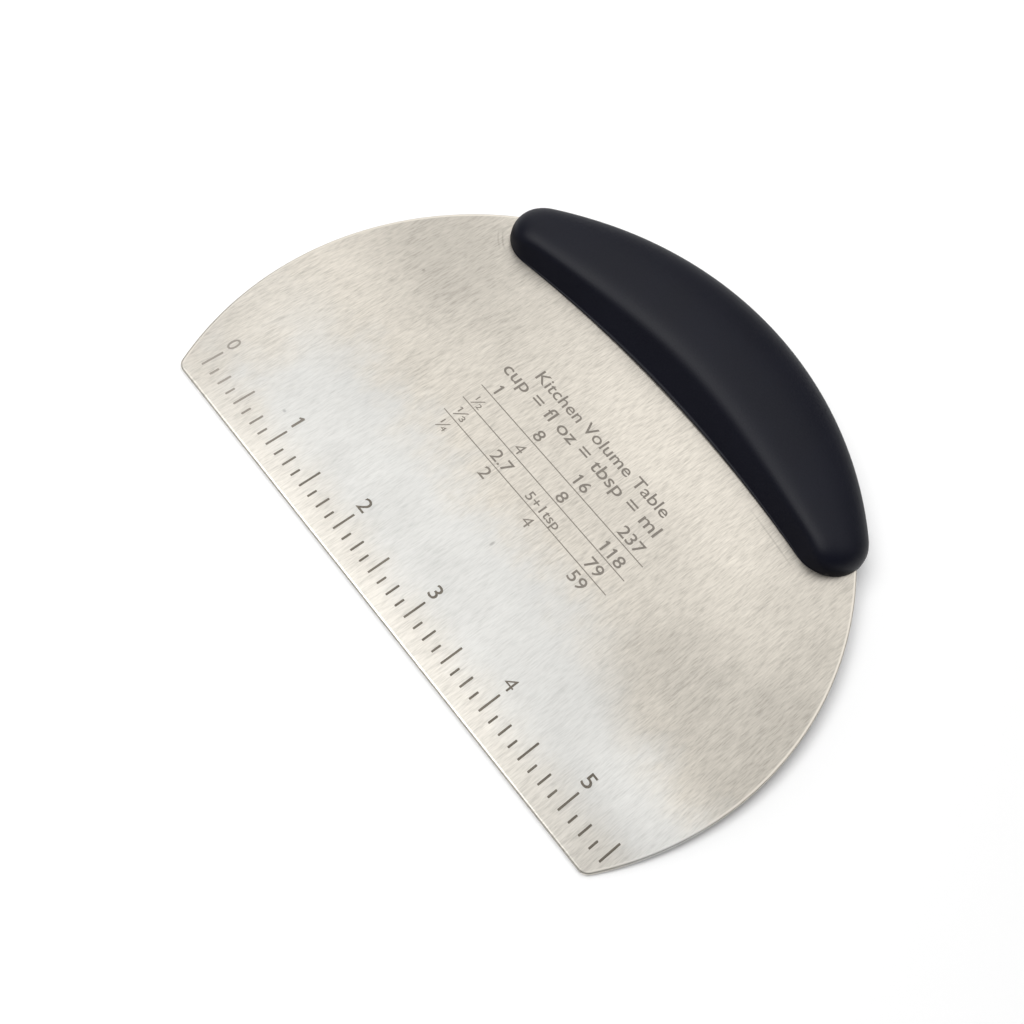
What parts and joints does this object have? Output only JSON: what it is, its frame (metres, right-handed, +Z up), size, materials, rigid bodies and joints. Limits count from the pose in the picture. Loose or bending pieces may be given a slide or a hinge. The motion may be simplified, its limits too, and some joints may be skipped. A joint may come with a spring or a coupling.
{
  "type": "bench scraper",
  "caption": "Wide steel bench scraper: a round-backed flat blade with a straight working edge, held along its curved back by a crescent-shaped soft grip.",
  "frame": {"origin": "centre of the bounding box, on the table that the scraper lies on", "axes": "+X along the straight working edge, +Y from that edge towards the handle, +Z up, with the printed face upwards"},
  "size_m": [0.1624, 0.1222, 0.0196],
  "materials": {
    "blade_steel": "fine straight brushing at right angles to the straight edge, with warm cloudy reflections",
    "core_plastic": "moulded nylon, hidden inside the grip",
    "grip_rubber": "matte blue-black soft-touch elastomer with a very fine grain"
  },
  "bodies": {
    "root": {"blade": "blade_steel", "core_front": "core_plastic", "core_back": "core_plastic", "grip": "grip_rubber"}
  },
  "joints": []
}
